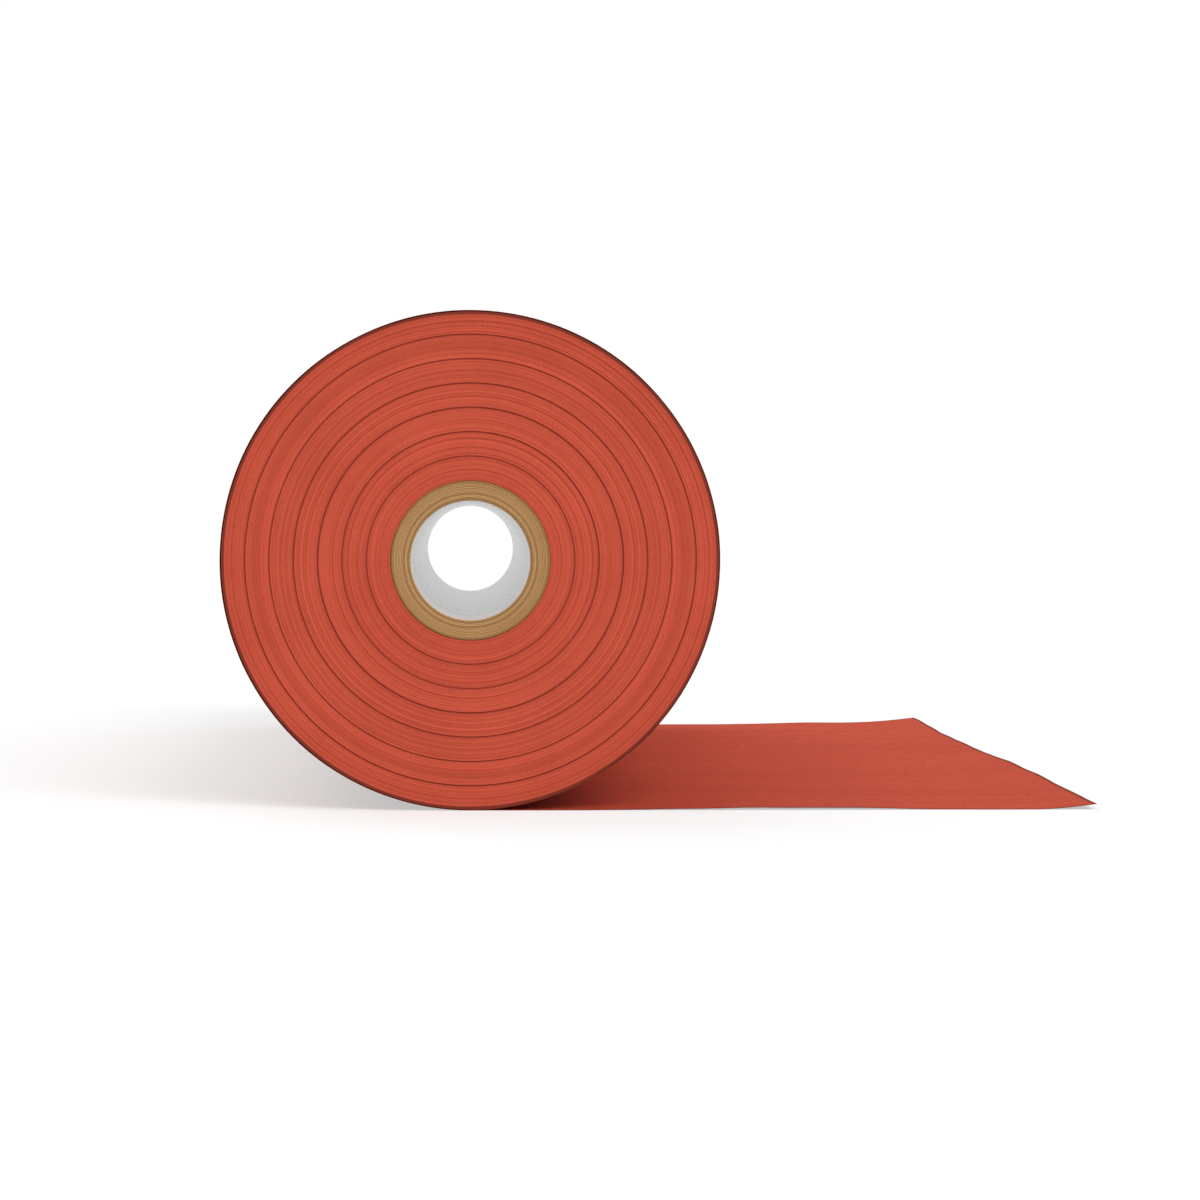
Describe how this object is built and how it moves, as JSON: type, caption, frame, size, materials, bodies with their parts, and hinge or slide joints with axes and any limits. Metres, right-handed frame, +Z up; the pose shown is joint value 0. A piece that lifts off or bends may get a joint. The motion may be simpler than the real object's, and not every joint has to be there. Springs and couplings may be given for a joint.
{
  "type": "roll of rosin paper",
  "caption": "Roll of red rosin building paper wound on a paperboard core, lying on its side, with its free end let out flat along the floor.",
  "frame": {"origin": "on the roll's axis, at the centre of the core's bore, halfway along the roll", "axes": "+Z up from the floor that the roll lies on, +Y along the roll's axis from the front end to the back end, +X the way the free end of the paper is let out"},
  "size_m": [0.4192, 0.9144, 0.2386],
  "materials": {
    "rosin_paper": "matte",
    "core_board": "matte"
  },
  "bodies": {
    "root": {"paper_web": "rosin_paper", "core_tube": "core_board"}
  },
  "joints": []
}
